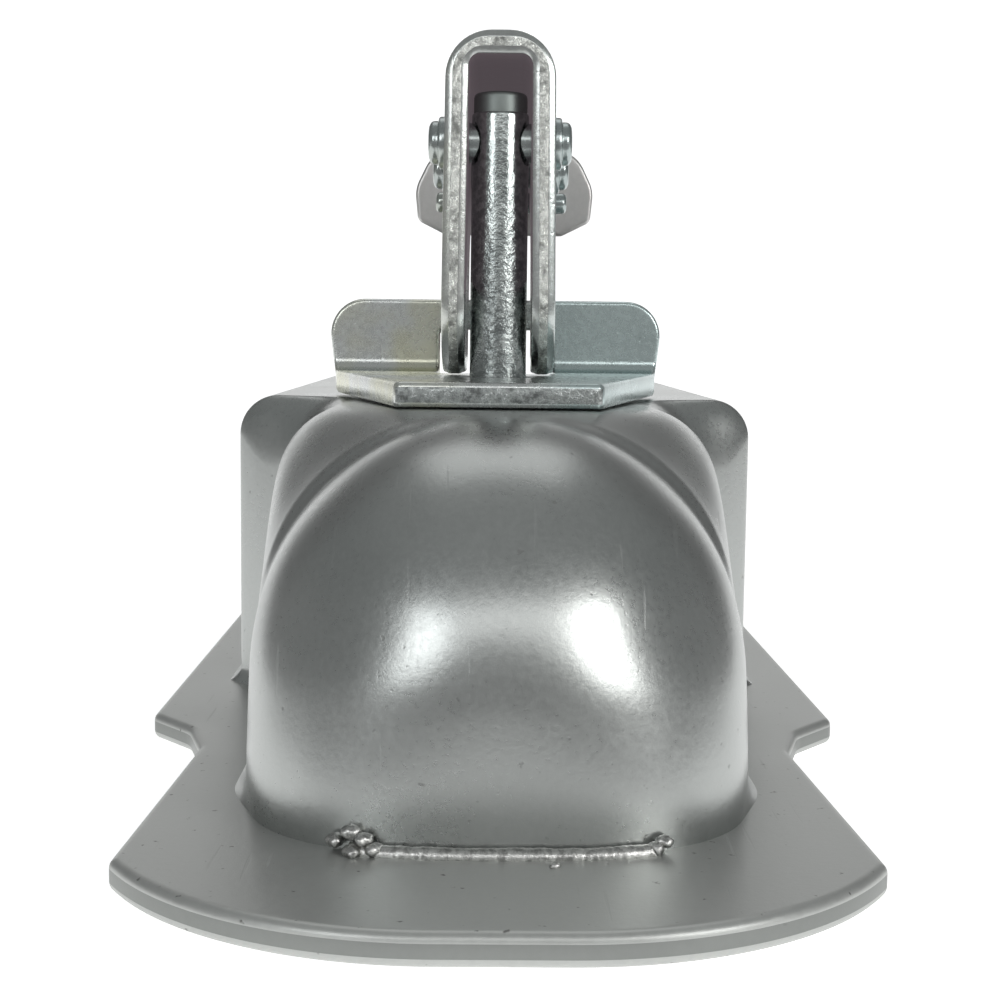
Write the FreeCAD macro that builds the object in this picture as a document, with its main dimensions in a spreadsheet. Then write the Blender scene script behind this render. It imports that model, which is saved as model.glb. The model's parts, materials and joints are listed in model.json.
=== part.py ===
# Straight-tongue trailer ball coupler with a lever latch. All sizes in millimetres.
# Frame: origin on the ball's vertical axis at the base plane, +X to the right seen from the
# front, +Y back towards the trailer, +Z up.

import math
import os

import FreeCAD
import Part
import Sketcher

os.makedirs("parts", exist_ok=True)
doc = FreeCAD.newDocument("coupler")
V = FreeCAD.Vector

# ---------------------------------------------------------------- driving sizes
SIZES = {
    "sheet_t": 4.5,          # flange and shell thickness
    "ball_z": 23.4,          # height of the ball's centre
    "ball_clear_r": 30.2,    # socket cup, inside
    "cup_r": 33.6,           # socket cup, outside
    "cup_back": 8.0,
    "cup_low": 5.0,
    "nose_r": 38.2,
    "neck_half": 38.4,
    "top_z": 61.8,
    "arch_r": 36.9,          # neck's corner radius where it leaves the nose
    "neck_r": 14.0,          # and where it is full
    "neck_full_y": 30.0,
    "neck_end_y": 59.0,
    "box_front_y": 70.0,
    "box_half": 50.5,
    "box_r": 7.8,
    "rear_y": 245.0,
    "land_half": 13.0,
    "land_top": 62.5,
    "lip_front": 66.2,
    "lip_r": 50.0,           # the lip's two arcs, with a short flat between them
    "lip_half": 52.0,
    "lip_corner_y": 40.3,
    "notch_half": 50.0,
    "notch_y": 18.0,
    "wing_half": 62.2,
    "wing_y": 40.5,
    "bolt_r": 6.75,
    "bolt_z": 30.0,
    "bolt_y": 187.5,
    "bolt_pitch": 55.0,
    "plate_t": 4.2,
    "plate_front": 17.0,
    "plate_front_half": 17.2,
    "plate_half": 31.0,
    "wall_y": 77.0,
    "wall_top": 81.0,
    "window_half": 11.2,
    "window_top": 75.0,
    "stem_r": 5.0,
    "stem_y": 38.5,
    "stem_low": 0.8,
    "stem_top": 116.0,
    "lever_pin_z": 107.5,
    "lever_pin_r": 3.5,
    "trigger_pin_y": 55.5,
    "trigger_pin_z": 104.4,
    "trigger_pin_r": 3.0,
    "stop_pin_y": 70.0,
    "stop_pin_z": 99.7,
    "stop_pin_r": 2.0,
    "pin_play": 0.05,        # radial clearance of each pin in its holes
    "lever_front": 31.5,
    "lever_end": 143.5,
    "lever_half": 9.8,
    "lever_t": 4.1,
    "lever_top": 125.9,
    "lever_r": 8.0,
    "cam_low": 67.0,
    "cam_r": 14.0,           # the cam's front corner
    "arm_low": 97.0,
    "trigger_half": 5.0,
    "bar_low": 102.0,
    "bar_high": 110.9,
    "finger_y": 146.0,
    "finger_t": 3.2,
    "finger_half": 21.6,
    "rest_y": 88.0,
    "rest_z": 24.0,
    "rest_r": 6.0,
    "clamp_half": 20.0,
    "clamp_low": 14.0,
    "clamp_high": 18.5,
    "clamp_ball_r": 29.8,
    "fork_half": 6.2,
    "washer_r": 11.0,
    "washer_low": 10.2,
    "nut_h": 8.0,
    "nut_half": 8.5,
    "spring_r": 9.3,
    "spring_wire_r": 1.3,
    "bead_r": 2.6,
}
sheet = doc.addObject("Spreadsheet::Sheet", "Sizes")
for row, (alias, size) in enumerate(SIZES.items(), start=1):
    sheet.set(f"A{row}", alias)
    sheet.set(f"B{row}", str(size))
    sheet.setAlias(f"B{row}", alias)
doc.recompute()


def size(text):
    """The value of an expression over the sheet's aliases."""
    for alias in sorted(SIZES, key=len, reverse=True):
        text = text.replace(alias, f"@{list(SIZES).index(alias)}@")
    for index, alias in enumerate(SIZES):
        text = text.replace(f"@{index}@", f"Sizes.{alias}")
    return text


def value(text):
    return float(sheet.evalExpression(size(text)))


def bind(obj, **sizes):
    """Binds properties to expressions over the sheet; pos_x, pos_y and pos_z are the placement."""
    for name, text in sizes.items():
        path = {"pos_x": "Placement.Base.x", "pos_y": "Placement.Base.y", "pos_z": "Placement.Base.z"}
        obj.setExpression(path.get(name, name), size(text))
    return obj


# ---------------------------------------------------------------- building blocks
ALONG_X = FreeCAD.Rotation(V(0, 0, 1), V(1, 0, 0))
FACING_Y = FreeCAD.Rotation(V(1, 0, 0), V(0, 0, 1), V(0, -1, 0), "XZY")   # sketch x, y = X, Z
FACING_X = FreeCAD.Rotation(V(0, 1, 0), V(0, 0, 1), V(1, 0, 0), "XZY")    # sketch x, y = Y, Z


def cylinder(name, radius, height, x="0", y="0", z="0", turn=None):
    part = doc.addObject("Part::Cylinder", name)
    if turn:
        part.Placement.Rotation = turn
    return bind(part, Radius=radius, Height=height, pos_x=x, pos_y=y, pos_z=z)


def cross_hole(name, radius, half, y, z):
    """A cylinder along X from -half to +half, for pins, bars and their holes."""
    return cylinder(name, radius, f"2 * ({half})", f"-({half})", y, z, ALONG_X)


def ball(name, radius, x="0", y="0", z="0"):
    return bind(doc.addObject("Part::Sphere", name), Radius=radius, pos_x=x, pos_y=y, pos_z=z)


def box(name, low, high):
    """A box between two corners, each a list of three expressions."""
    part = doc.addObject("Part::Box", name)
    sides = {}
    for axis, side, a, b in zip("xyz", ("Length", "Width", "Height"), low, high):
        sides[f"pos_{axis}"] = a
        sides[side] = f"({b}) - ({a})"
    return bind(part, **sides)


def fuse(name, *parts):
    joined = doc.addObject("Part::MultiFuse", name)
    joined.Shapes = list(parts)
    return joined


def cut(name, base, *tools):
    tool = tools[0] if len(tools) == 1 else fuse(name + "_tools", *tools)
    result = doc.addObject("Part::Cut", name)
    result.Base = base
    result.Tool = tool
    return result


def common(name, a, b):
    result = doc.addObject("Part::MultiCommon", name)
    result.Shapes = [a, b]
    return result


def outline(name, turn, points):
    """A closed sketch through points (x, y, radius of the rounding there), sizes as expressions."""
    sketch = doc.addObject("Sketcher::SketchObject", name)
    sketch.Placement = FreeCAD.Placement(V(0, 0, 0), turn)
    corners = []
    for x, y, r in points:
        corners.append((V(value(x), value(y), 0), value(r)))
    count = len(corners)
    starts, ends, arcs = [], [], []
    for i, (corner, r) in enumerate(corners):
        before = (corners[i - 1][0] - corner).normalize()
        after = (corners[(i + 1) % count][0] - corner).normalize()
        if r == 0:
            starts.append(corner)
            ends.append(corner)
            arcs.append(None)
            continue
        half = before.getAngle(after) / 2
        reach = r / math.tan(half)
        bisector = (before + after).normalize()
        centre = corner + bisector * (r / math.sin(half))
        starts.append(corner + before * reach)
        ends.append(corner + after * reach)
        arcs.append(centre - bisector * r)
    for i in range(count):
        if arcs[i] is not None:
            sketch.addGeometry(Part.Arc(starts[i], arcs[i], ends[i]))
        following = starts[(i + 1) % count]
        if (following - ends[i]).Length > 1e-6:
            sketch.addGeometry(Part.LineSegment(ends[i], following))
    for index in range(sketch.GeometryCount):
        sketch.addConstraint(Sketcher.Constraint("Block", index))
    return sketch


def slab(name, sketch, direction, length, start="0"):
    """Extrudes a sketch along a direction from start to start + length."""
    part = doc.addObject("Part::Extrusion", name)
    part.Base = sketch
    part.DirMode = "Custom"
    part.Dir = direction
    part.Solid = True
    return bind(part, LengthFwd=f"({start}) + ({length})", LengthRev=f"-({start})")


def plane_of(body, role):
    for feature in body.Origin.OriginFeatures:
        if feature.Role == role:
            return feature
    raise ValueError(role)


def turned(name, profile, axis="X"):
    """A body turned about X or Z from a half profile of (along, radius) points."""
    body = doc.addObject("PartDesign::Body", name)
    sketch = body.newObject("Sketcher::SketchObject", name + "_profile")
    sketch.AttachmentSupport = [(plane_of(body, "XZ_Plane"), "")]
    sketch.MapMode = "FlatFace"
    points = []
    for along, radius in profile:
        point = (value(along), value(radius))
        points.append(V(*point, 0) if axis == "X" else V(point[1], point[0], 0))
    for a, b in zip(points, points[1:] + points[:1]):
        sketch.addGeometry(Part.LineSegment(a, b))
    for index in range(sketch.GeometryCount):
        sketch.addConstraint(Sketcher.Constraint("Block", index))
    revolve = body.newObject("PartDesign::Revolution", name + "_turning")
    revolve.Profile = sketch
    revolve.ReferenceAxis = (sketch, ["H_Axis" if axis == "X" else "V_Axis"])
    revolve.Angle = 360
    return body


def coil(name, radius, wire, low, high, turns, y):
    """A compression spring about a vertical axis, made as a wire swept along a helix."""
    helix = doc.addObject("Part::Helix", name + "_line")
    bind(helix, Radius=radius, Height=f"({high}) - ({low}) - 2 * ({wire})")
    bind(helix, Pitch=f"(({high}) - ({low}) - 2 * ({wire})) / ({turns})",
         pos_y=y, pos_z=f"({low}) + ({wire})")
    section = doc.addObject("Part::Circle", name + "_wire")
    section.Placement.Rotation = FreeCAD.Rotation(V(0, 0, 1), V(0, 1, 0))
    bind(section, Radius=wire, pos_x=radius, pos_y=y, pos_z=f"({low}) + ({wire})")
    doc.recompute()
    sweep = doc.addObject("Part::Sweep", name)
    sweep.Sections = [section]
    sweep.Spine = (helix, [f"Edge{i + 1}" for i in range(len(helix.Shape.Edges))])
    sweep.Solid = True
    sweep.Frenet = True
    return sweep


UP = V(0, 0, 1)
FLAT = FreeCAD.Rotation()
BACK = V(0, 1, 0)
RIGHT = V(1, 0, 0)


# ---------------------------------------------------------------- coupler shell
def shell_form(name, inset, floor, rear):
    """The shell's outer form, or its hollow when inset is the sheet's thickness."""
    stations = [
        ("0", "neck_half", "arch_r"),
        ("neck_full_y", "neck_half", "neck_r"),
        ("neck_end_y", "neck_half", "neck_r"),
        ("box_front_y", "box_half", "box_r"),
        (rear, "box_half", "box_r"),
    ]
    rings = []
    for index, (y, half, corner) in enumerate(stations):
        h = f"{half} - {inset}"
        r = f"{corner} - {inset}"
        t = f"top_z - {inset}"
        points = [(f"-({h})", floor, "0"), (h, floor, "0"), (h, t, r), (f"-({h})", t, r)]
        ring = outline(f"{name}_ring_{index}", FACING_Y, points)
        rings.append(bind(ring, pos_y=y))
    loft = doc.addObject("Part::Loft", name + "_body")
    loft.Sections = rings
    loft.Solid = True
    loft.Ruled = True
    forward = FreeCAD.Rotation(V(0, 0, 1), 180)
    dome = ball(name + "_dome", f"nose_r - {inset}", z="ball_z")
    dome.Angle1 = 0
    dome.Angle3 = 180
    dome.Placement.Rotation = forward
    wall = cylinder(name + "_wall", f"nose_r - {inset}", f"ball_z - ({floor})", z=floor, turn=forward)
    wall.Angle = 180
    return fuse(name, loft, dome, wall)


outer = shell_form("shell_outer", "0", "sheet_t", "rear_y")
hollow = shell_form("shell_hollow", "sheet_t", "sheet_t - 1", "rear_y + 5")
land = box("shell_land", ["-land_half", "stem_y - 14", "top_z - 0.5"],
           ["land_half", "wall_y - 1", "land_top"])
stem_way = cylinder("shell_stem_way", "stem_r + 1.3", "12", y="stem_y", z="top_z - 8")
bolt_ways = []
for index, side in enumerate(("-", "+")):
    y = f"bolt_y {side} bolt_pitch / 2"
    bolt_ways.append(cross_hole(f"shell_bolt_way_{index}", "bolt_r", "box_half + 2", y, "bolt_z"))
pressing = cut("shell_pressing", fuse("shell_form_and_land", outer, land), hollow)
coupler_shell = cut("coupler_shell", pressing, stem_way, *bolt_ways)

# ---------------------------------------------------------------- base flange
side = [
    ("lip_half - 14.8", "-lip_front", "lip_r"),
    ("lip_half", "-lip_corner_y", "1.6"),
    ("notch_half", "notch_y", "4"),
    ("notch_half + 3.8", "wing_y - 10", "9"),
    ("wing_half", "wing_y", "4"),
    ("wing_half", "rear_y", "0"),
]
mirrored = [(f"-({x})", y, r) for x, y, r in reversed(side)]
flange_solid = slab("flange_sheet", outline("flange_plan", FLAT, side + mirrored), UP, "sheet_t")
ball_mouth = cylinder("flange_ball_mouth", "ball_clear_r + 1", "sheet_t + 2", z="-1")
neck_mouth = box("flange_neck_mouth", ["-30.5", "0", "-1"], ["30.5", "72", "sheet_t + 1"])
box_mouth = box("flange_box_mouth", ["-(box_half - sheet_t)", "70", "-1"],
                ["box_half - sheet_t", "rear_y + 5", "sheet_t + 1"])
base_flange = cut("base_flange", flange_solid, ball_mouth, neck_mouth, box_mouth)

# ---------------------------------------------------------------- weld at the nose
bead = doc.addObject("Part::Torus", "bead_ring")
bead.Angle3 = 68
bead.Placement.Rotation = FreeCAD.Rotation(V(0, 0, 1), 238)
bind(bead, Radius1="nose_r + 0.9", Radius2="bead_r", pos_z="sheet_t + 0.9")
left_end = ball("bead_left_end", "3.0", "-21.0", "-33.2", "sheet_t + 0.7")
right_end = ball("bead_right_end", "3.0", "23.6", "-31.6", "sheet_t + 0.7")
front_weld_bead = cut("front_weld_bead", fuse("bead_solid", bead, left_end, right_end), outer, flange_solid)

# ---------------------------------------------------------------- socket cup
cup_outside = fuse("cup_outside", ball("cup_crown", "cup_r", z="ball_z"),
                   cylinder("cup_skirt", "cup_r", "ball_z - cup_low", z="cup_low"))
cup_inside = fuse("cup_inside", ball("cup_seat", "ball_clear_r", z="ball_z"),
                  cylinder("cup_mouth", "ball_clear_r", "ball_z + 5", z="-5"))
cup_zone = box("cup_zone", ["-40", "-40", "cup_low"], ["40", "cup_back", "top_z"])
socket_cup = cut("socket_cup", common("cup_form", cup_outside, cup_zone), cup_inside)

# ---------------------------------------------------------------- latch plate
plate_side = [
    ("plate_front_half", "plate_front", "1.5"), ("plate_half", "wall_y - 11", "5"),
    ("plate_half", "wall_y + plate_t", "0"),
]
plate_plan = outline("plate_plan", FLAT,
                     plate_side + [(f"-{x}", y, r) for x, y, r in reversed(plate_side)])
wall_side = [("plate_half", "land_top", "0"), ("34", "land_top + 6.5", "3"), ("34", "wall_top", "7")]
wall_face = outline("plate_wall_face", FACING_Y,
                    wall_side + [(f"-{x}", z, r) for x, z, r in reversed(wall_side)])
plate_solid = fuse("plate_solid", slab("plate_floor", plate_plan, UP, "plate_t", "land_top"),
                   slab("plate_wall", wall_face, BACK, "plate_t", "wall_y"))
stem_hole = cylinder("plate_stem_hole", "stem_r + 1.2", "10", y="stem_y", z="land_top - 2")
window = box("plate_window", ["-window_half", "62", "land_top - 1"],
             ["window_half", "wall_y + 10", "window_top"])
latch_plate = cut("latch_plate", plate_solid, stem_hole, window)

# ---------------------------------------------------------------- rest bar of the clamp
clamp_rest_bar = turned("clamp_rest_bar", [
    ("-(box_half - sheet_t)", "0"), ("-(box_half - sheet_t)", "rest_r"),
    ("box_half - sheet_t", "rest_r"), ("box_half - sheet_t", "0"),
])
bind(clamp_rest_bar, pos_y="rest_y", pos_z="rest_z")

# ---------------------------------------------------------------- clamp stem with washer and nut
stem_rod = turned("stem_rod", [
    ("stem_low", "0"), ("stem_low", "stem_r - 0.8"), ("stem_low + 0.8", "stem_r"),
    ("stem_top - 3.5", "stem_r"), ("stem_top - 3.3", "stem_r - 0.25"),
    ("stem_top - 0.5", "stem_r - 0.25"), ("stem_top", "stem_r - 0.75"), ("stem_top", "0"),
], "Z")
bind(stem_rod, pos_y="stem_y")
stem_eye = cross_hole("stem_eye", "lever_pin_r + pin_play", "stem_r + 2", "stem_y", "lever_pin_z")
clamp_stem = cut("clamp_stem", stem_rod, stem_eye)

dome = ball("washer_dome", "23.8", y="stem_y", z="clamp_low + 0.1 - 23.8")
washer_disc = cylinder("washer_disc", "washer_r", "5", y="stem_y", z="washer_low")
washer_hole = cylinder("washer_hole", "stem_r + 0.05", "20", y="stem_y", z="washer_low - 5")
stem_washer = cut("stem_washer", common("washer_form", dome, washer_disc), washer_hole)

hexagon = doc.addObject("Part::Prism", "nut_hexagon")
hexagon.Polygon = 6
bind(hexagon, Circumradius="nut_half / cos(30)", Height="nut_h", pos_y="stem_y", pos_z="washer_low - nut_h")
nut_cone = turned("nut_cone", [
    ("washer_low - nut_h", "0"), ("washer_low - nut_h", "nut_half - 0.2"),
    ("washer_low - nut_h + 1", "nut_half + 1.5"), ("washer_low - 1", "nut_half + 1.5"),
    ("washer_low", "nut_half - 0.2"), ("washer_low", "0"),
], "Z")
bind(nut_cone, pos_y="stem_y")
nut_hole = cylinder("nut_hole", "stem_r + 0.03", "20", y="stem_y", z="washer_low - nut_h - 5")
adjusting_nut = cut("adjusting_nut", common("nut_form", hexagon, nut_cone), nut_hole)

# ---------------------------------------------------------------- ball clamp
clamp_side = outline("clamp_side", FACING_X, [
    ("12", "clamp_low", "0"), ("64", "clamp_low", "8"), ("rest_y", "rest_z - 10.4", "0"),
    ("rest_y", "rest_z + 10.4", "0"), ("62", "clamp_high", "10"), ("37", "clamp_high", "3"),
    ("35", "36", "3"), ("12", "36", "0"),
])
clamp_blank = slab("clamp_blank", clamp_side, RIGHT, "2 * clamp_half", "-clamp_half")
clamp_eye = cross_hole("clamp_eye", "10.4", "clamp_half", "rest_y", "rest_z")
clamp_solid = fuse("clamp_solid", clamp_blank, clamp_eye)
clamp_seat = ball("clamp_seat", "clamp_ball_r", z="ball_z")
fork_end = cylinder("clamp_fork_end", "fork_half", "40", y="stem_y + 0.4", z="0")
fork_slot = box("clamp_fork_slot", ["-fork_half", "0", "0"], ["fork_half", "stem_y + 0.4", "50"])
spring_way = cylinder("clamp_spring_way", "spring_r + spring_wire_r + 0.8", "30",
                      y="stem_y", z="clamp_high")
bar_hole = cross_hole("clamp_bar_hole", "rest_r + pin_play", "clamp_half + 2", "rest_y", "rest_z")
ball_clamp = cut("ball_clamp", clamp_solid, clamp_seat, fork_end, fork_slot, spring_way, bar_hole)

clamp_spring = coil("clamp_spring", "spring_r", "spring_wire_r",
                    "clamp_high + 0.2", "top_z - sheet_t - 0.2", "6", "stem_y")

# ---------------------------------------------------------------- latch lever
lever_side = outline("lever_side", FACING_X, [
    ("lever_front", "cam_low", "cam_r"), ("stem_y + 19", "cam_low", "6"),
    ("stem_y + 19", "arm_low", "9"), ("lever_end", "arm_low + 6", "6"),
    ("lever_end", "lever_top", "4"), ("lever_front", "lever_top", "1"),
])
lever_profile = slab("lever_profile", lever_side, RIGHT, "24", "-12")
channel_face = outline("lever_channel_face", FACING_Y, [
    ("-lever_half", "cam_low - 5", "0"), ("-(lever_half - lever_t)", "cam_low - 5", "0"),
    ("-(lever_half - lever_t)", "lever_top - lever_t", "lever_r - lever_t"),
    ("lever_half - lever_t", "lever_top - lever_t", "lever_r - lever_t"),
    ("lever_half - lever_t", "cam_low - 5", "0"), ("lever_half", "cam_low - 5", "0"),
    ("lever_half", "lever_top", "lever_r"), ("-lever_half", "lever_top", "lever_r"),
])
channel = slab("lever_channel", channel_face, BACK, "lever_end + 5 - 25", "25")
lever_form = common("lever_form", lever_profile, channel)
latch_lever = cut(
    "latch_lever", lever_form,
    cross_hole("lever_hole_main", "lever_pin_r + pin_play", "14", "stem_y", "lever_pin_z"),
    cross_hole("lever_hole_trigger", "trigger_pin_r + pin_play", "14", "trigger_pin_y", "trigger_pin_z"),
    cross_hole("lever_hole_stop", "stop_pin_r + pin_play", "14", "stop_pin_y", "stop_pin_z"),
)


# ---------------------------------------------------------------- lever's pins
def pin(name, shank, head, dome, y, z):
    """A riveted pin along X: a shank with a collar and a rounded head at each end."""
    face = "lever_half + 0.05"
    right = [
        (face, shank), (face, head), (f"{face} + 1.1", head), (f"{face} + 1.35", f"{head} - 0.3"),
        (f"{face} + 1.4", dome), (f"{face} + 2.2", f"{dome} - 0.35"),
        (f"{face} + 2.75", f"{dome} - 1.2"), (f"{face} + 2.95", f"{dome} * 0.35"),
        (f"{face} + 3.0", "0"),
    ]
    left = [(f"-({along})", radius) for along, radius in reversed(right)]
    return bind(turned(name, left + right), pos_y=y, pos_z=z)


lever_pin = pin("lever_pin", "lever_pin_r", "4.5", "3.7", "stem_y", "lever_pin_z")
trigger_pin = pin("trigger_pin", "trigger_pin_r", "4.2", "3.4", "trigger_pin_y", "trigger_pin_z")
stop_pin = turned("stop_pin", [
    ("-(lever_half + 2.9)", "0"), ("-(lever_half + 2.9)", "stop_pin_r - 0.7"),
    ("-(lever_half + 2.2)", "stop_pin_r"), ("lever_half + 2.2", "stop_pin_r"),
    ("lever_half + 2.9", "stop_pin_r - 0.7"), ("lever_half + 2.9", "0"),
])
bind(stop_pin, pos_y="stop_pin_y", pos_z="stop_pin_z")

# ---------------------------------------------------------------- trigger
bar = box("trigger_rail", ["-trigger_half", "trigger_pin_y", "bar_low"],
          ["trigger_half", "finger_y", "bar_high"])
boss = cross_hole("trigger_boss", "5.4", "trigger_half", "trigger_pin_y", "trigger_pin_z")
hook_side = outline("trigger_hook_side", FACING_X, [
    ("wall_y + plate_t - 1.6", "69.5", "0"), ("wall_y + plate_t + 7", "69.5", "3"),
    ("wall_y + plate_t + 9", "bar_low + 1", "0"), ("wall_y + plate_t + 0.8", "bar_low + 1", "0"),
    ("wall_y + plate_t + 0.8", "73.0", "0.5"), ("wall_y + plate_t - 1.6", "73.0", "0.5"),
])
hook = slab("trigger_hook", hook_side, RIGHT, "2 * trigger_half", "-trigger_half")
trigger_hole = cross_hole("trigger_hole", "trigger_pin_r + pin_play", "8", "trigger_pin_y", "trigger_pin_z")
trigger_bar = cut("trigger_bar", fuse("trigger_solid", bar, boss, hook), trigger_hole)

finger_side = [
    ("14", "98", "2"), ("20.9", "101.4", "2"), ("finger_half", "109", "8"), ("18", "116.5", "8"),
    ("11", "120.3", "8"),
]
finger_face = outline("finger_face", FACING_Y,
                      finger_side + [(f"-{x}", z, r) for x, z, r in reversed(finger_side)])
finger_plate = slab("finger_plate", finger_face, BACK, "finger_t", "finger_y")

trigger_spring = coil("trigger_spring", "2.9", "0.5", "bar_high + 0.2", "lever_top - lever_t - 0.4",
                      "5", "100")

# ---------------------------------------------------------------- check and write
NODES = [
    coupler_shell, base_flange, front_weld_bead, socket_cup, latch_plate, clamp_rest_bar,
    clamp_stem, stem_washer, adjusting_nut, ball_clamp, clamp_spring,
    latch_lever, lever_pin, trigger_pin, stop_pin, trigger_bar, finger_plate, trigger_spring,
]
doc.recompute()
for obj in doc.Objects:
    if "Invalid" in obj.State or "Error" in obj.State:
        raise RuntimeError(f"{obj.Name} did not compute: {obj.State}")
for node in NODES:
    shape = node.Shape
    if shape.isNull() or not shape.isValid():
        raise RuntimeError(f"{node.Name} has no valid shape")
    node.Label = node.Name
    solids = len(shape.Solids)
    span = shape.optimalBoundingBox(False, False)
    print(f"{node.Name:18s} solids {solids} volume {shape.Volume:10.1f} "
          f"X {span.XMin:7.1f} {span.XMax:7.1f} Y {span.YMin:7.1f} {span.YMax:7.1f} "
          f"Z {span.ZMin:7.1f} {span.ZMax:7.1f}")
    shape.exportStep(f"parts/{node.Name}.step")
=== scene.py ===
import json
import math

import bmesh
import bpy
import numpy as np
from mathutils import Matrix, Vector
from mathutils.geometry import delaunay_2d_cdt


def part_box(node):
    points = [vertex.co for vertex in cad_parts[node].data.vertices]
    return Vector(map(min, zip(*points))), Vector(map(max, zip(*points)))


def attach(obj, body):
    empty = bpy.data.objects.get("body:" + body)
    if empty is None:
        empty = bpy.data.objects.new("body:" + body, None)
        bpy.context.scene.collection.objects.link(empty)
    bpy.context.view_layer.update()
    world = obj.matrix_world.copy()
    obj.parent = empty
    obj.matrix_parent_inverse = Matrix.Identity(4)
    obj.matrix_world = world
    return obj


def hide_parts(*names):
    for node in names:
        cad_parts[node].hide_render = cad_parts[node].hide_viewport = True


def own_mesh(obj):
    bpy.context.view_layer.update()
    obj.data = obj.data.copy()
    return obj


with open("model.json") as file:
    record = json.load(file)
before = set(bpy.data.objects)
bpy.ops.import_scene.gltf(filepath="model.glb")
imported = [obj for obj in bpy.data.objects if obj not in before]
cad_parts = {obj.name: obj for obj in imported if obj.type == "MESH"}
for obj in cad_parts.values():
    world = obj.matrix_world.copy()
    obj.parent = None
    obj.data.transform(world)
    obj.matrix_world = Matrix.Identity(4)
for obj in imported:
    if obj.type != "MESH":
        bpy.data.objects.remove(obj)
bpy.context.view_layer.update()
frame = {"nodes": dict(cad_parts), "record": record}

# ---------------------------------------------------------------- room
# A sweep of paper, white and glowing under and behind the coupler, grey in front and at the sides.
# Softboxes stand low on the left and the right, a wide dim strip between them, another overhead.


class Socket:
    """A shader socket. Arithmetic on it adds Math nodes; node() adds any other node."""

    def __init__(self, tree, out=None):
        self.tree = tree
        self.out = out

    def node(self, kind, settings=None, inputs=None, output=0):
        """A node of a type, with its settings set first, then the values or links of its inputs."""
        made = self.tree.nodes.new("ShaderNode" + kind)
        for key, setting in (settings or {}).items():
            if key == "stops":
                ramp = made.color_ramp
                while len(ramp.elements) < len(setting):
                    ramp.elements.new(0.5)
                for element, (place, colour) in zip(ramp.elements, setting):
                    element.position = place
                    element.color = colour
            else:
                setattr(made, key, setting)
        for key, content in (inputs or {}).items():
            if isinstance(content, Socket):
                self.tree.links.new(content.out, made.inputs[key])
            else:
                made.inputs[key].default_value = content
        return Socket(self.tree, made.outputs[output])

    def math(self, operation, a, b=0.0):
        """A Math node on one or two values."""
        return self.node("Math", {"operation": operation}, {0: a, 1: b})

    def __add__(self, other):
        return self.math("ADD", self, other)

    def __radd__(self, other):
        return self.math("ADD", other, self)

    def __sub__(self, other):
        return self.math("SUBTRACT", self, other)

    def __rsub__(self, other):
        return self.math("SUBTRACT", other, self)

    def __mul__(self, other):
        return self.math("MULTIPLY", self, other)

    def __rmul__(self, other):
        return self.math("MULTIPLY", other, self)

    def noise(self, where, scale, detail=3.0, rough=0.55):
        """Cloudy noise from 0 to 1, scale features to the metre."""
        return self.node("TexNoise", {"noise_dimensions": "3D"},
                         {"Vector": where, "Scale": scale, "Detail": detail, "Roughness": rough})

    def step(self, value, low, high):
        """0 below low, 1 above high, smooth between."""
        return self.node("MapRange", {"interpolation_type": "SMOOTHSTEP"},
                         {"Value": value, "From Min": low, "From Max": high})

    def mix(self, factor, a, b):
        """Colour a where the factor is 0, colour b where it is 1."""
        return self.node("Mix", {"data_type": "RGBA"}, {0: factor, 6: a, 7: b}, output=2)


def material(name, paint):
    """A material whose Principled inputs come from paint(socket, object coordinates)."""
    made = bpy.data.materials.new(name)
    made.use_nodes = True
    tree = made.node_tree
    surface = tree.nodes["Principled BSDF"]
    here = Socket(tree)
    where = here.node("TexCoord", output=3)
    for key, content in paint(here, where).items():
        if isinstance(content, Socket):
            tree.links.new(content.out, surface.inputs[key])
        else:
            surface.inputs[key].default_value = content
    return made


FIELD_FRONT = (-0.135, -0.078)
FIELD_SIDE = (1.0, 1.35)
FIELD_TOP = (0.62, 0.85)


def paper(s, where):
    """White and glowing in a soft-edged field under and behind the coupler, grey outside it."""
    mottle = s.noise(where, 6.0)
    across, along, height = (s.node("SeparateXYZ", None, {0: where}, output=axis) for axis in range(3))
    lit = s.step(along, *FIELD_FRONT) * (1 - s.step(height, *FIELD_TOP))
    lit = lit * (1 - s.step(s.math("ABSOLUTE", across), *FIELD_SIDE))
    white = s.mix(mottle, (0.86, 0.86, 0.86, 1), (0.90, 0.90, 0.895, 1))
    return {
        "Base Color": s.mix(lit, (0.26, 0.26, 0.26, 1), white),
        "Roughness": 0.75 + mottle * 0.1,
        "Emission Color": s.mix(lit, (0.12, 0.12, 0.12, 1), (1, 1, 1, 1)),
        "Emission Strength": 0.72,
    }


def sweep(name, half_width, front, back, rise, bend):
    """The floor runs back flat, turns up through a quarter circle of radius bend, and rises."""
    turn = np.linspace(0, math.pi / 2, 25)
    y = np.r_[front, back + bend * np.sin(turn), back + bend]
    z = np.r_[0, bend - bend * np.cos(turn), rise]
    x = np.array([-half_width, half_width])
    points = np.stack(np.broadcast_arrays(x[None, :], y[:, None], z[:, None]), -1)
    rows = len(y)
    first = np.arange(rows - 1) * 2
    faces = np.stack([first, first + 1, first + 3, first + 2], -1)
    mesh = bpy.data.meshes.new(name)
    mesh.from_pydata(points.reshape(-1, 3).tolist(), [], faces.tolist())
    mesh.shade_smooth()
    made = bpy.data.objects.new(name, mesh)
    bpy.context.scene.collection.objects.link(made)
    return made


floor = sweep("paper_sweep", 3.0, -2.5, 1.2, 2.6, 0.8)
floor.data.materials.append(material("paper", paper))


AIM = Vector((0, 0.02, 0.04))


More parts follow.
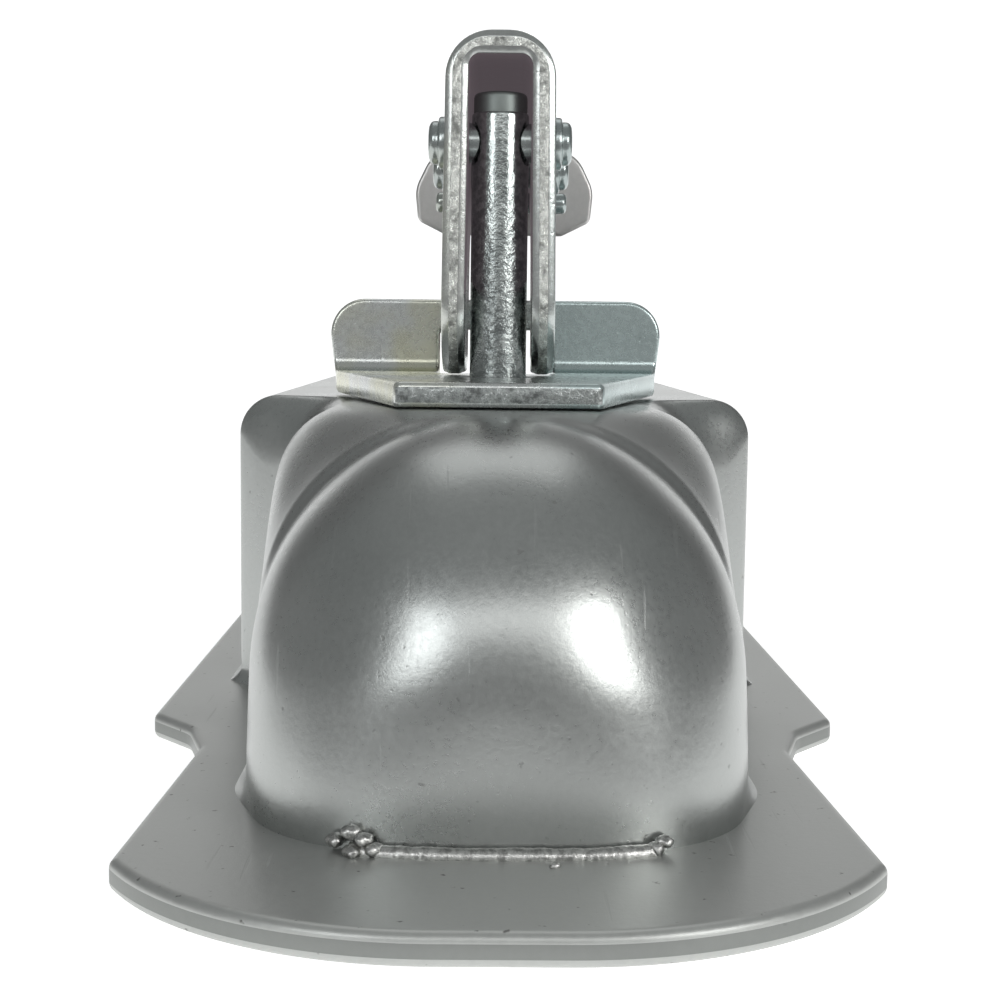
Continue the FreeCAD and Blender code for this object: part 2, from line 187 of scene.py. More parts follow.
def softbox(name, bearing, height, distance, size, watts, tint):
    """An area light at a bearing from the front and a height in degrees, turned to the aim point."""
    a, e = math.radians(bearing), math.radians(height)
    data = bpy.data.lights.new(name, "AREA")
    data.shape = "RECTANGLE"
    data.size, data.size_y = size
    data.energy = watts
    data.color = tint
    lamp = bpy.data.objects.new(name, data)
    away = Vector((math.sin(a) * math.cos(e), -math.cos(a) * math.cos(e), math.sin(e)))
    lamp.location = AIM + away * distance
    lamp.rotation_euler = away.to_track_quat("Z", "Y").to_euler()
    lamp.visible_camera = False
    bpy.context.scene.collection.objects.link(lamp)


softbox("softbox_left", -33, 20, 1.1, (0.34, 0.32), 1.4, (0.97, 0.99, 1.0))
softbox("softbox_right", 45, 20, 1.1, (0.40, 0.36), 2.9, (1.0, 1.0, 0.99))
softbox("softbox_front", 5, 28, 1.1, (0.90, 0.25), 1.2, (1.0, 1.0, 1.0))
softbox("softbox_top", 180, 62, 2.2, (1.6, 1.2), 4.4, (1.0, 1.0, 1.0))

world = bpy.data.worlds.new("studio")
bpy.context.scene.world = world
world.use_nodes = True
sky = Socket(world.node_tree)
height = sky.node("SeparateXYZ", None, {0: sky.node("TexCoord", output=0)}, output=2)
glow = sky.node("ValToRGB", {"stops": [
    (0.0, (0.42, 0.42, 0.42, 1)), (0.12, (0.26, 0.265, 0.265, 1)),
    (0.55, (0.24, 0.25, 0.25, 1)), (1.0, (0.34, 0.35, 0.35, 1)),
]}, {0: height})
background = world.node_tree.nodes["Background"]
world.node_tree.links.new(glow.out, background.inputs["Color"])
background.inputs["Strength"].default_value = 1.0

camera = bpy.data.objects.new("camera", bpy.data.cameras.new("camera"))
camera.data.lens = 57.6
camera.data.clip_start = 0.01
camera.location = (-0.00367, -0.2472, 0.0745)
PITCH, YAW, ROLL = (math.radians(turn) for turn in (5.97, 0.87, 0.67))
aimed = Matrix.Rotation(-YAW, 3, "Z") @ Matrix.Rotation(math.pi / 2 - PITCH, 3, "X")
camera.rotation_euler = (aimed @ Matrix.Rotation(ROLL, 3, "Z")).to_euler()
bpy.context.scene.collection.objects.link(camera)
bpy.context.scene.camera = camera
bpy.context.scene.view_settings.view_transform = "Standard"

# ---------------------------------------------------------------- coupler shell
# The body, one sheet drawn over a die: a domed nose over a squarer foot, a neck with rounded
# shoulders and a wide box, open below and behind. Satin zinc, a little mottled, with rub marks.
MM = 0.001
SHEET = 4.5
FLOOR = 1000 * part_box("base_flange")[1].z
BALL_Z = 23.4
NOSE_R = -1000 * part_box("coupler_shell")[0].y
NECK_HALF = 38.4
BOX_HALF = 1000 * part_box("coupler_shell")[1].x
TOP = 61.8
REAR = 1000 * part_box("coupler_shell")[1].y
NECK_R = 14.0
BOX_R = 7.8


def smooth(x, low, high):
    """0 below low, 1 above high, 3t^2 - 2t^3 between."""
    t = np.clip((x - low) / (high - low), 0, 1)
    return t * t * (3 - 2 * t)


def grid_faces(rows, cols, round_rows=False, round_cols=False):
    """Quads between neighbours of a rows x cols grid, joined last to first where it is round."""
    i = np.arange(rows if round_rows else rows - 1)[:, None]
    j = np.arange(cols if round_cols else cols - 1)[None, :]
    i2, j2 = (i + 1) % rows, (j + 1) % cols
    corners = np.broadcast_arrays(i * cols + j, i2 * cols + j, i2 * cols + j2, i * cols + j2)
    return np.stack(corners, -1).reshape(-1, 4)


def piece(name, parts, body, finishes, replaces=(), sharp=35, faces_of=None):
    """A mesh object from (points in millimetres, faces) parts, merged, riding on a body."""
    points, faces, start = [], [], 0
    for part_points, part_faces in parts:
        flat = np.asarray(part_points, float).reshape(-1, 3)
        points.append(flat)
        faces += [[start + k for k in face] for face in np.asarray(part_faces, object).tolist()]
        start += len(flat)
    mesh = bpy.data.meshes.new(name)
    mesh.from_pydata((np.concatenate(points) * MM).tolist(), [], faces)
    for finish in finishes:
        mesh.materials.append(finish)
    if faces_of is not None:
        mesh.polygons.foreach_set("material_index", np.asarray(faces_of, np.int32))
    work = bmesh.new()
    work.from_mesh(mesh)
    bmesh.ops.remove_doubles(work, verts=work.verts, dist=1e-6)
    bmesh.ops.dissolve_degenerate(work, edges=work.edges, dist=1e-7)
    bmesh.ops.recalc_face_normals(work, faces=work.faces)
    work.to_mesh(mesh)
    work.free()
    mesh.shade_smooth()
    mesh.set_sharp_from_angle(angle=math.radians(sharp))
    made = bpy.data.objects.new(name, mesh)
    bpy.context.scene.collection.objects.link(made)
    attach(made, body)
    if replaces:
        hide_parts(*replaces)
    return made


def foot_exponent(z):
    """The plan of the nose is |x|^n + |y|^n = R^n: n falls from 2.9 at its foot to 2 at the dome."""
    return 2 + 0.9 * (1 - smooth(z, FLOOR + 2, 36.0))


def foot_flare(z):
    """How far the wall runs out at its foot, a quarter round 3 mm high."""
    t = np.clip(1 - (z - FLOOR) / 3.0, 0, 1)
    return 2.2 * t * t


WALL_Z = np.r_[np.linspace(FLOOR, FLOOR + 3, 7), np.linspace(FLOOR + 4.5, BALL_Z, 12)]
ARC_STEPS = 36


def nose(radius):
    """Round the ball's axis from left to right, each meridian up the wall and over to the crown."""
    bearing = np.linspace(-math.pi / 2, math.pi / 2, 97)[:, None]
    lift = np.linspace(0, math.pi / 2, ARC_STEPS + 1)[1:]
    z = np.r_[WALL_Z, BALL_Z + radius * np.sin(lift)][None, :]
    reach = np.r_[np.full(len(WALL_Z), 1.0), np.cos(lift)][None, :]
    n = foot_exponent(z)
    side, ahead = np.abs(np.sin(bearing)), np.abs(np.cos(bearing))
    plan = radius * (side ** n + ahead ** n) ** (-1 / n)
    out = plan * reach + foot_flare(z) * smooth(np.abs(bearing), 1.05, 1.45)
    x = out * np.sin(bearing)
    y = -out * np.cos(bearing)
    points = np.stack(np.broadcast_arrays(x, y, z), -1)
    return points, grid_faces(*points.shape[:2])


def neck_and_box(radius):
    """Sections across the body: wall, corner arc, flat top, corner arc, wall, set out along y."""
    y = np.r_[np.linspace(0, 34, 41), np.linspace(36, 58, 12), np.linspace(59, 73, 29),
              np.linspace(76, REAR, 40)]
    widen = smooth(y, 58.5, 70.5)
    half = radius + (NECK_HALF - radius) * smooth(y, 0, 20) + (BOX_HALF - NECK_HALF) * widen
    top = BALL_Z + radius + (TOP - BALL_Z - radius) * smooth(y, 0, 20)
    corner = half + (NECK_R - half) * smooth(y, -7, 34) * smooth(y, 0, 5) * (1 - widen)
    corner = corner + (BOX_R - corner) * smooth(y, 54, 70)
    turn = np.linspace(0, math.pi / 2, ARC_STEPS + 1)[1:]
    sections = []
    for sign in (-1, 1):
        wall_z = WALL_Z[None, :]
        scale = (top - corner - FLOOR)[:, None] / (BALL_Z - FLOOR)
        wall_z = np.where(wall_z < FLOOR + 3.1, wall_z, FLOOR + (wall_z - FLOOR) * scale)
        wall_x = half[:, None] + foot_flare(wall_z)
        arc_x = (half - corner)[:, None] + corner[:, None] * np.cos(turn)
        arc_z = (top - corner)[:, None] + corner[:, None] * np.sin(turn)
        sections.append((sign * np.c_[wall_x, arc_x], np.c_[wall_z, arc_z]))
    flat = np.linspace(-1, 1, 26)[None, 1:-1] * (half - corner)[:, None]
    x = np.c_[sections[0][0], flat, sections[1][0][:, ::-1]]
    z = np.c_[sections[0][1], np.broadcast_to(top[:, None], flat.shape), sections[1][1][:, ::-1]]
    points = np.stack([x, np.broadcast_to(y[:, None], x.shape), z], -1)
    return points, grid_faces(*points.shape[:2])


def zinc(tone, rough, grain, bump, tint=0.0, soil=0.0, metal=1.0):
    """Zinc plating: mottled tone, a fine crystal grain and dull soil; with tint, a colour cast painted by
    side, yellow patches of passivate on the left and a painted teal reflection on the right.
    """
    def paint(s, where):
        cloud = s.noise(where, 45.0, 4.0)
        crystal = s.noise(where, grain, 3.0, 0.7)
        speck = s.step(s.noise(where, 620.0, 2.0, 0.5), 0.70, 0.78)
        streak_at = s.node("Mapping", None, {"Vector": where, "Rotation": (0.3, 0.2, 0.5),
                                             "Scale": (900.0, 40.0, 60.0)})
        streak = s.step(s.noise(streak_at, 1.0, 2.0, 0.4), 0.70, 0.76)
        dark = tuple(0.80 * c for c in tone) + (1,)
        light = tuple(min(1.0, 1.14 * c) for c in tone) + (1,)
        colour = s.mix(cloud * 0.5 + crystal * 0.5, dark, light)
        if tint:
            # A painted colour cast by side: yellow passivate patches only left of the middle, a teal painted
            # reflection right of it.
            side = s.node("SeparateXYZ", None, {0: where}, output=0)
            patch = s.step(s.noise(where, 70.0, 2.0), 0.40, 0.62)
            left = 1 - s.step(side, -0.014, -0.004)
            right = s.step(side, 0.004, 0.014)
            colour = s.mix(patch * left * tint, colour, (0.72, 0.70, 0.42, 1))
            colour = s.mix(right * tint, colour, (0.42, 0.60, 0.60, 1))
        if soil:
            colour = s.mix(speck * soil, colour, (0.07, 0.065, 0.06, 1))
        return {
            "Base Color": colour,
            "Metallic": metal - speck * (0.6 * soil),
            "Roughness": rough + (cloud - 0.5) * 0.12 + (crystal - 0.5) * 0.16 + streak * 0.08,
            "Normal": s.node("Bump", None, {
                "Strength": bump, "Distance": 0.00025,
                "Height": crystal + cloud * 0.4 - speck * 0.5 - streak * 0.4,
            }),
        }
    return paint


PRESSED_ZINC = material("pressed_zinc", zinc((0.46, 0.475, 0.465), 0.30, 1100.0, 0.10, soil=0.35))

shell = piece("coupler_shell_pressing", [nose(NOSE_R), neck_and_box(NOSE_R)], "coupler",
              [PRESSED_ZINC], ["coupler_shell"], sharp=50)


def finish_with(made, *modifiers):
    """Adds modifiers as (type, settings) and keeps their result as the object's mesh."""
    for kind, settings in modifiers:
        modifier = made.modifiers.new(kind.lower(), kind)
        for key, setting in settings.items():
            setattr(modifier, key, setting)
    graph = bpy.context.evaluated_depsgraph_get()
    result = bpy.data.meshes.new_from_object(made.evaluated_get(graph))
    made.modifiers.clear()
    old, made.data = made.data, result
    bpy.data.meshes.remove(old)
    result.set_sharp_from_angle(angle=math.radians(40))


def rod(name, radius, ends, across=64):
    """A plain cutter along x or z between two end points."""
    a, b = (np.array(end, float) for end in ends)
    turn = np.arange(across) * 2 * math.pi / across
    side = np.array([0.0, 1, 0])
    up = np.cross((b - a) / np.linalg.norm(b - a), side)
    ring = radius * (np.cos(turn)[:, None] * side + np.sin(turn)[:, None] * up)
    mesh = bpy.data.meshes.new(name)
    faces = grid_faces(2, across, round_cols=True).tolist()
    faces += [list(range(across))[::-1], list(range(across, 2 * across))]
    mesh.from_pydata((np.r_[a + ring, b + ring] * MM).tolist(), [], faces)
    work = bmesh.new()
    work.from_mesh(mesh)
    bmesh.ops.recalc_face_normals(work, faces=work.faces)
    work.to_mesh(mesh)
    work.free()
    made = bpy.data.objects.new(name, mesh)
    bpy.context.scene.collection.objects.link(made)
    return made


finish_with(shell, ("SOLIDIFY", {"thickness": SHEET * MM, "offset": -1.0, "use_even_offset": False}))
STEM_Y = 500 * (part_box("clamp_stem")[0].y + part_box("clamp_stem")[1].y)
cutters = [rod("stem_way", 6.3, [(0, STEM_Y, 50), (0, STEM_Y, 70)])]
for bolts in frame["record"]["mounts"]:
    if bolts["kind"] == "bolt_pattern":
        x, y, z = (1000 * c for c in bolts["pos_m"])
        for away in (-0.5, 0.5):
            at = y + away * bolts["dims"]["spacing_x_mm"]
            ends = [(0.85 * x, at, z), (1.1 * x, at, z)]
            cutters.append(rod("bolt_way", bolts["dims"]["hole_r_mm"], ends))
for cutter in cutters:
    finish_with(shell, ("BOOLEAN", {"object": cutter, "solver": "EXACT"}))
for cutter in cutters:
    bpy.data.objects.remove(cutter)

# ---------------------------------------------------------------- base flange
# The flat skirt the shell stands on, blanked from the same sheet: a curved lip in front, a notch
# each side and a long wing along the box. Its sheared edge is rounded over at the top.


def outline(corners):
    """A closed loop through (x, y, radius) corners, each rounded by an arc of its radius."""
    loop = []
    spots = [np.array(corner[:2], float) for corner in corners]
    for i, (corner, (_, _, radius)) in enumerate(zip(spots, corners)):
        if radius == 0:
            loop.append(corner[None])
            continue
        before = spots[i - 1] - corner
        after = spots[(i + 1) % len(spots)] - corner
        before /= np.linalg.norm(before)
        after /= np.linalg.norm(after)
        half = math.acos(np.clip(before @ after, -1, 1)) / 2
        middle = (before + after) / np.linalg.norm(before + after)
        centre = corner + middle * radius / math.sin(half)
        start = corner + before * radius / math.tan(half) - centre
        swept = math.pi - 2 * half
        spin = np.sign(before[1] * after[0] - before[0] * after[1])
        turn = spin * np.linspace(0, swept, 3 + int(swept * (4 + 0.6 * radius)))
        cos, sin = np.cos(turn)[:, None], np.sin(turn)[:, None]
        loop.append(centre + cos * start + sin * np.array([-start[1], start[0]]))
    return np.concatenate(loop)


def arc(centre, radius, start, stop, steps):
    """Points on a circle from one angle to another, in degrees."""
    turn = np.radians(np.linspace(start, stop, steps))[:, None]
    return np.array(centre) + radius * np.c_[np.cos(turn), np.sin(turn)]


def inset(loop, by):
    """A loop moved sideways to its left by a distance, mitred at its corners."""
    ahead = np.roll(loop, -1, 0) - loop
    ahead /= np.linalg.norm(ahead, axis=1)[:, None]
    behind = np.roll(ahead, 1, 0)
    normal = np.c_[-ahead[:, 1], ahead[:, 0]] + np.c_[-behind[:, 1], behind[:, 0]]
    normal /= np.linalg.norm(normal, axis=1)[:, None]
    slant = np.maximum(np.sum(normal * np.c_[-ahead[:, 1], ahead[:, 0]], 1), 0.4)
    return loop + normal * (by / slant)[:, None]


def turned_left(loop):
    """The loop with its inside on the left."""
    x, y = loop.T
    area = np.sum(x * np.roll(y, -1) - np.roll(x, -1) * y)
    return loop if area > 0 else loop[::-1]


def rounding(radius):
    """An edge's profile, as (rise, depth) from the face to the sheared side: a quarter round."""
    turn = np.linspace(0, math.pi / 2, 6)
    return [(0, radius + 0.35)] + [(radius * (1 - math.cos(t)), radius * (1 - math.sin(t))) for t in turn]


def filled(rim):
    """Triangles between a rim's outer ring and its holes' rings, as places in the whole mesh.

    A hole is round or nearly so, and a triangle with all its corners on one hole lies inside it."""
    index = np.concatenate([np.arange(len(ring)) + first for ring, first in rim])
    of_ring = np.repeat(np.arange(len(rim)), [len(ring) for ring, _ in rim])
    spots = [Vector(spot[:2]) for ring, _ in rim for spot in ring.tolist()]
    edges, start = [], 0
    for ring, _ in rim:
        edges += [(start + k, start + (k + 1) % len(ring)) for k in range(len(ring))]
        start += len(ring)
    inside = 1
    made = delaunay_2d_cdt(spots, edges, [], inside, 1e-6)
    triangles = np.array([[made[3][corner][0] for corner in triangle] for triangle in made[2]])
    rings = of_ring[triangles]
    in_a_hole = (rings[:, 0] > 0) & np.all(rings == rings[:, :1], axis=1)
    return index[triangles[~in_a_hole]].tolist()


def slab(outer, holes, low, high, edge, place):
    """A plate between two levels with shaped edges; place(a, b, level) gives its points in space.

    Each loop is carried along the edge's profile, up the sheared side and back along the profile;
    the two faces are filled between the innermost rings. Sheared faces have index 1."""
    shape = np.array(edge, float)
    depth = np.r_[shape[:, 1], shape[::-1, 1]]
    rise = np.r_[low + shape[:, 0], high - shape[::-1, 0]]
    middle = len(shape) - 1
    loops = [turned_left(outer)] + [turned_left(hole)[::-1] for hole in holes]
    points, faces, kinds, start, rims = [], [], [], 0, ([], [])
    for loop in loops:
        rings = [np.c_[inset(loop, d), np.full(len(loop), r)] for d, r in zip(depth, rise)]
        points.append(np.concatenate(rings))
        quads = grid_faces(len(rings), len(loop), round_cols=True)
        row = quads[:, 0] // len(loop)
        faces += (quads + start).tolist()
        kinds += (row == middle).astype(int).tolist()
        rims[0].append((rings[0], start))
        rims[1].append((rings[-1], start + (len(rings) - 1) * len(loop)))
        start += len(rings) * len(loop)
    for rim in rims:
        triangles = filled(rim)
        faces += triangles
        kinds += [0] * len(triangles)
    flat = np.concatenate(points)
    return place(*flat.T), faces, kinds


def stack_up(x, y, z):
    """A plate that lies flat: its level is its height."""
    return np.stack([x, y, z], -1)


def plate(name, outer, holes, low, high, edge, place, body, finishes, replaces):
    """A slab as a piece, its faces in the first finish and its sheared sides in the second."""
    points, faces, kinds = slab(outer, holes, low, high, edge, place)
    mesh_faces = np.empty(len(faces), object)
    mesh_faces[:] = faces
    return piece(name, [(points, mesh_faces)], body, finishes, replaces, 45, kinds)


def sheared(tone, rough, torn):
    """A sheared edge: bright where the die burnished it, torn into short vertical ridges below."""
    def paint(s, where):
        ridge = s.noise(where, 750.0, 4.0, 0.75)
        coarse = s.noise(where, 260.0, 2.0)
        dark = tuple(0.42 * c for c in tone) + (1,)
        light = tuple(min(1.0, 1.25 * c) for c in tone) + (1,)
        worn = s.step(ridge * 0.7 + coarse * 0.3, 0.36, 0.58)
        return {
            "Base Color": s.mix(worn, dark, light),
            "Metallic": 1.0,
            "Roughness": rough + (1 - worn) * 0.25,
            "Normal": s.node("Bump", None, {"Strength": torn, "Distance": 0.0006,
                                            "Height": ridge + coarse * 0.6}),
        }
    return paint


LIP_FRONT = 1000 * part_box("base_flange")[0].y
WING_HALF = 1000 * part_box("base_flange")[1].x
BOX_INSIDE = BOX_HALF - SHEET
skirt_side = [
    (37.2, LIP_FRONT, 50), (52, -40.3, 2.2), (50, 18, 4), (53.8, 30.5, 9), (WING_HALF, 40.5, 4),
    (WING_HALF, REAR, 2.2), (BOX_INSIDE, REAR, 2.2), (BOX_INSIDE, 70, 3), (30.5, 70, 3),
]
ball_mouth = [(x, y, 0) for x, y in arc((0, 0), 31.2, 11, -191, 71).tolist()]
skirt = outline(skirt_side + ball_mouth + [(-x, y, r) for x, y, r in reversed(skirt_side)])
SKIRT_ZINC = material("skirt_zinc", zinc((0.50, 0.51, 0.495), 0.42, 900.0, 0.12, soil=0.8, metal=0.75))
SKIRT_EDGE = material("skirt_edge", zinc((0.26, 0.27, 0.26), 0.38, 500.0, 0.10, soil=0.2))
plate("base_flange_skirt", skirt, [], 0.0, FLOOR, rounding(1.3), stack_up, "coupler",
      [SKIRT_ZINC, SKIRT_EDGE], ["base_flange"])

# ---------------------------------------------------------------- weld at the nose
# One pass of weld metal along the front of the nose's foot, with a lump where it was started and
# another where it was stopped, and a few beads of spatter stuck to the lip.


def tube(path, radius, sides=20):
    """Rings round a path in space, of a radius for each point, closed at both ends to a point."""
    ahead = np.gradient(path, axis=0)
    ahead /= np.linalg.norm(ahead, axis=1)[:, None]
    side = np.cross(ahead, (0, 0, 1.0))
    side /= np.linalg.norm(side, axis=1)[:, None]
    up = np.cross(side, ahead)
    turn = np.arange(sides) * 2 * math.pi / sides
    reach = np.broadcast_to(radius, len(path))[:, None, None]
    ring = np.cos(turn)[None, :, None] * side[:, None] + np.sin(turn)[None, :, None] * up[:, None]
    points = path[:, None] + reach * ring
    start = np.broadcast_to(path[0], (1, sides, 3))
    end = np.broadcast_to(path[-1], (1, sides, 3))
    points = np.concatenate([start, points, end])
    return points, grid_faces(len(points), sides, round_cols=True)


def lump(centre, radius, seed, flat=0.8):
    """A drop of metal: a ball whose radius wanders with three low waves."""
    lift = np.linspace(-math.pi / 2, math.pi / 2, 15)[:, None]
    turn = (np.arange(24) * 2 * math.pi / 24)[None, :]
    rng = np.random.default_rng(seed)
    waves = rng.uniform(0, 6.28, 3)
    wander = 1 + 0.12 * np.sin(3 * turn + waves[0]) * np.cos(lift) + 0.10 * np.sin(2 * lift + waves[1])
    wander = wander + 0.08 * np.sin(5 * turn + 4 * lift + waves[2]) * np.cos(lift)
    x = radius * wander * np.cos(lift) * np.cos(turn)
    y = radius * wander * np.cos(lift) * np.sin(turn)
    z = np.broadcast_to(radius * flat * wander * np.sin(lift), x.shape)
    return np.stack([x, y, z], -1) + np.array(centre), grid_faces(15, 24, round_cols=True)


def foot_line(bearing, out, z):
    """Points along the nose's foot at bearings from straight ahead, a little outside it."""
    n = foot_exponent(np.full(bearing.shape, z))
    reach = NOSE_R * (np.abs(np.sin(bearing)) ** n + np.abs(np.cos(bearing)) ** n) ** (-1 / n) + out
    return np.stack([reach * np.sin(bearing), -reach * np.cos(bearing), np.full(bearing.shape, z)], -1)


def weld_metal(s, where):
    ripple = s.noise(where, 900.0, 4.0, 0.7)
    return {
        "Base Color": s.mix(s.step(ripple, 0.35, 0.6), (0.34, 0.34, 0.33, 1), (0.66, 0.66, 0.64, 1)),
        "Metallic": 1.0,
        "Roughness": 0.22 + ripple * 0.2,
        "Normal": s.node("Bump", None, {"Strength": 0.35, "Distance": 0.0004, "Height": ripple}),
    }


WELD_LEFT, WELD_RIGHT = -0.50, 0.52
bearing = np.linspace(WELD_LEFT, WELD_RIGHT, 150)
rng = np.random.default_rng(7)
wobble = np.interp(bearing, np.linspace(WELD_LEFT, WELD_RIGHT, 31), rng.uniform(-0.1, 0.1, 31))
run = 1.2 + 0.03 * np.sin(bearing * 260) + wobble
left_end = foot_line(np.array([-0.50, -0.46, -0.43, -0.54, -0.49]), 1.0, FLOOR + 0.6)
right_end = foot_line(np.array([0.52, 0.55]), 1.0, FLOOR + 0.6)
parts = [tube(foot_line(bearing, 1.0, FLOOR + 0.2), run)]
parts += [lump(left_end[0] + (0.2, 0.2, 2.0), 1.35, 1), lump(left_end[1] + (0.2, -0.3, 1.5), 1.25, 2),
          lump(left_end[2] + (0.3, -0.4, 0.2), 1.3, 3), lump(left_end[3] + (-0.4, 0.3, 0.9), 1.25, 4),
          lump(left_end[4] + (0.1, -1.3, -0.1), 1.25, 10),
          lump(right_end[0] + (0.2, -0.3, 0.1), 1.25, 5), lump(right_end[1] + (0.1, 0.1, 1.0), 1.15, 6),
          lump((7.2, -42.6, FLOOR + 0.1), 0.7, 8)]
piece("nose_weld", parts, "coupler", [material("weld_metal", weld_metal)],
      ["front_weld_bead"], sharp=60)

# ---------------------------------------------------------------- latch plate
# A thick blank bent up behind the lever, with a window through the bend for the hook and the cams.
# Brighter zinc with a visible crystal, faintly yellow on one side; its front edge is sheared.
PLATE_T = 4.2
PLATE_LOW = 1000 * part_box("latch_plate")[0].z
WALL_BACK = 1000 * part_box("latch_plate")[1].y
WALL_TOP = 1000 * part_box("latch_plate")[1].z
PLATE_FRONT = 1000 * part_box("latch_plate")[0].y
PLATE_HALF = 17.2
BEND_R = 2.5 + PLATE_T / 2
bend_start = WALL_BACK - PLATE_T / 2 - BEND_R
bend_run = BEND_R * math.pi / 2
wall_base = bend_start + bend_run


def bent_plate(x, s, w):
    """The plate's middle surface runs back flat, turns up through a quarter circle and rises.

    Its front is crowned: the floor falls off as the square of the way out from its middle."""
    turn = np.clip((s - bend_start) / BEND_R, 0, math.pi / 2)
    past = np.maximum(s - wall_base, 0)
    y = np.minimum(s, bend_start) + (BEND_R - w) * np.sin(turn)
    crown = 0.5 * (x / PLATE_HALF) ** 2 * (1 - smooth(s, PLATE_FRONT, 62.0))
    z = PLATE_LOW + PLATE_T / 2 + BEND_R - (BEND_R - w) * np.cos(turn) + past - crown
    return np.stack([x, y, z], -1)


def at_height(z):
    """Where along the blank the wall reaches a height."""
    return wall_base + z - (PLATE_LOW + PLATE_T / 2 + BEND_R)


def bent(made, cuts, place):
    """Cuts a flat blank across at the given lines, then carries it onto its bent form."""
    work = bmesh.new()
    work.from_mesh(made.data)
    for cut in cuts:
        everything = work.verts[:] + work.edges[:] + work.faces[:]
        bmesh.ops.bisect_plane(work, geom=everything, plane_co=(0, cut * MM, 0), plane_no=(0, 1, 0))
    work.to_mesh(made.data)
    work.free()
    flat = np.empty(len(made.data.vertices) * 3)
    made.data.vertices.foreach_get("co", flat)
    placed = place(*(flat.reshape(-1, 3).T / MM)) * MM
    made.data.vertices.foreach_set("co", placed.ravel())
    made.data.update()
    work = bmesh.new()
    work.from_mesh(made.data)
    bmesh.ops.recalc_face_normals(work, faces=work.faces)
    work.to_mesh(made.data)
    work.free()
    made.data.set_sharp_from_angle(angle=math.radians(45))


def both_sides(half):
    """Corners along the right side of a plate, then back along its left side."""
    return half + [(-x, s, r) for x, s, r in reversed(half)]


blank = outline(both_sides([(PLATE_HALF, PLATE_FRONT, 1.5), (31.0, 66, 5), (34, at_height(WALL_TOP), 7)]))
window = outline(both_sides([(11.2, 62, 1.5), (11.2, at_height(75), 1)]))
stem_hole = arc((0, STEM_Y), 6.2, 0, 352.5, 48)
PLATE_ZINC = material("plate_zinc", zinc((0.72, 0.745, 0.735), 0.28, 700.0, 0.22, tint=0.45, soil=0.15))
PLATE_EDGE = material("plate_edge", sheared((0.36, 0.38, 0.375), 0.26, 0.45))
PLATE_RIM = [(0, 0.95), (0, 0.62), (0.08, 0.36), (0.26, 0.2), (0.62, 0.06), (0.8, 0)]
latch = plate("latch_plate_bent", blank, [window, stem_hole], -PLATE_T / 2, PLATE_T / 2, PLATE_RIM, stack_up,
              "coupler", [PLATE_ZINC, PLATE_EDGE], ["latch_plate"])
bent(latch, np.linspace(bend_start, wall_base, 11), bent_plate)
SHEARED_DEPTH = 0.4
faces = latch.data.polygons
centres, kinds = np.empty(len(faces) * 3), np.empty(len(faces), np.int32)
faces.foreach_get("center", centres)
faces.foreach_get("material_index", kinds)
kinds[centres[1::3] > (PLATE_FRONT + SHEARED_DEPTH) * MM] = 0
faces.foreach_set("material_index", kinds)
LAND = outline(both_sides([(13, STEM_Y - 14, 3), (13, WALL_BACK - 5, 3)]))
plate("shell_land", LAND, [stem_hole], TOP - 0.6, PLATE_LOW, rounding(0.3), stack_up, "coupler",
      [PRESSED_ZINC, PRESSED_ZINC], ["coupler_shell"])

# ---------------------------------------------------------------- latch lever
# A blank folded into an inverted channel. Its front legs are the cams that bear on the plate, and
# its long arm covers the trigger. Bright zinc, the sheared rims torn between burnished corners.
LEVER_T = 4.1
LEVER_TOP = 1000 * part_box("latch_lever")[1].z
LEVER_LOW = 1000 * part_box("latch_lever")[0].z
LEVER_FRONT = 1000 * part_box("latch_lever")[0].y
LEVER_END = 1000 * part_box("latch_lever")[1].y
LEVER_HALF = 1000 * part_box("latch_lever")[1].x
OUTER_R = 8.0
INNER_R = 1.8
half_top = LEVER_HALF - 0.3
web_half = half_top - OUTER_R
fold_run = (OUTER_R - LEVER_T / 2) * math.pi / 2
leg_start = web_half + fold_run
fold_z = LEVER_TOP - OUTER_R


def folded_lever(y, t, w):
    """Across the blank: flat web, quarter circle each side, then straight down the legs.

    The outside turns on a wide radius and the inside on a tight one, as thick sheet does in a
    closed die. The legs spread a little towards their ends."""
    turn = np.clip((np.abs(t) - web_half) / fold_run, 0, 1) * math.pi / 2
    down = np.maximum(np.abs(t) - leg_start, 0)
    flat = np.minimum(np.abs(t), web_half)
    spread = 0.45 * smooth(down, 6, 44)
    out_x = flat + OUTER_R * np.sin(turn) + spread
    out_z = fold_z + OUTER_R * np.cos(turn) - down
    in_x = flat * (half_top - LEVER_T - INNER_R) / web_half + INNER_R * np.sin(turn) + spread
    lag = (OUTER_R - LEVER_T - INNER_R) * (1 - smooth(down, 0, 7))
    in_z = fold_z + lag + INNER_R * np.cos(turn) - down
    side = 0.5 + w / LEVER_T
    x = in_x + (out_x - in_x) * side
    z = in_z + (out_z - in_z) * side
    return np.stack([np.sign(t) * x, y, z], -1)


def leg_at(z):
    """Where across the blank the leg reaches a height."""
    return leg_start + fold_z - z


def middle_of(node):
    """Where a cross piece's axis meets the middle plane, as (y, z) in millimetres."""
    low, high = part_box(node)
    return 500 * (low.y + high.y), 500 * (low.z + high.z)


